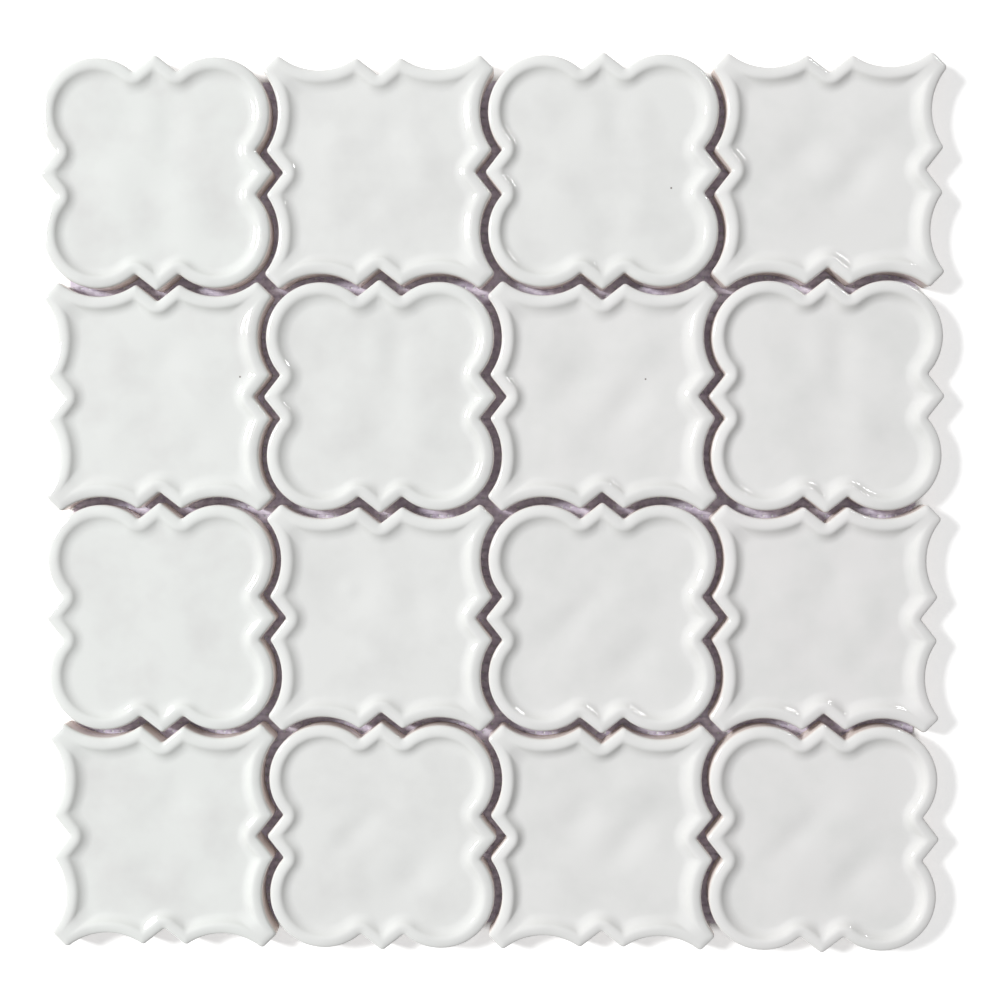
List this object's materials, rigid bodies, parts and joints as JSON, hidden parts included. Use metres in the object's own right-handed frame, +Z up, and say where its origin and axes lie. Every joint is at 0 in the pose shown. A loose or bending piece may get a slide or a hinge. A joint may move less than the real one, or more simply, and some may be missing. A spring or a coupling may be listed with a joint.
{
  "type": "ceramic mosaic tile",
  "caption": "Flat sheet of white glazed ceramic mosaic tiles, barbed quatrefoils and notched squares that interlock, each with a raised rim round a dished face, held on backing mesh.",
  "frame": {"origin": "centre of the sheet on the underside of its backing mesh, where it lies on the floor", "axes": "+Z up out of the glazed faces, +X along a row of tiles, +Y along a column towards row 1"},
  "size_m": [0.3032, 0.3032, 0.0085],
  "materials": {
    "glazed_tile": "glossy white glaze over a buff fired body that is bare on the sides and back",
    "mesh": "coated fibre mesh, matt"
  },
  "bodies": {
    "root": {"quatrefoil_tile_r1c1": "glazed_tile", "notched_tile_r1c2": "glazed_tile", "quatrefoil_tile_r1c3": "glazed_tile", "notched_tile_r1c4": "glazed_tile", "notched_tile_r2c1": "glazed_tile", "quatrefoil_tile_r2c2": "glazed_tile", "notched_tile_r2c3": "glazed_tile", "quatrefoil_tile_r2c4": "glazed_tile", "quatrefoil_tile_r3c1": "glazed_tile", "notched_tile_r3c2": "glazed_tile", "quatrefoil_tile_r3c3": "glazed_tile", "notched_tile_r3c4": "glazed_tile", "notched_tile_r4c1": "glazed_tile", "quatrefoil_tile_r4c2": "glazed_tile", "notched_tile_r4c3": "glazed_tile", "quatrefoil_tile_r4c4": "glazed_tile", "backing_mesh": "mesh"}
  },
  "joints": []
}
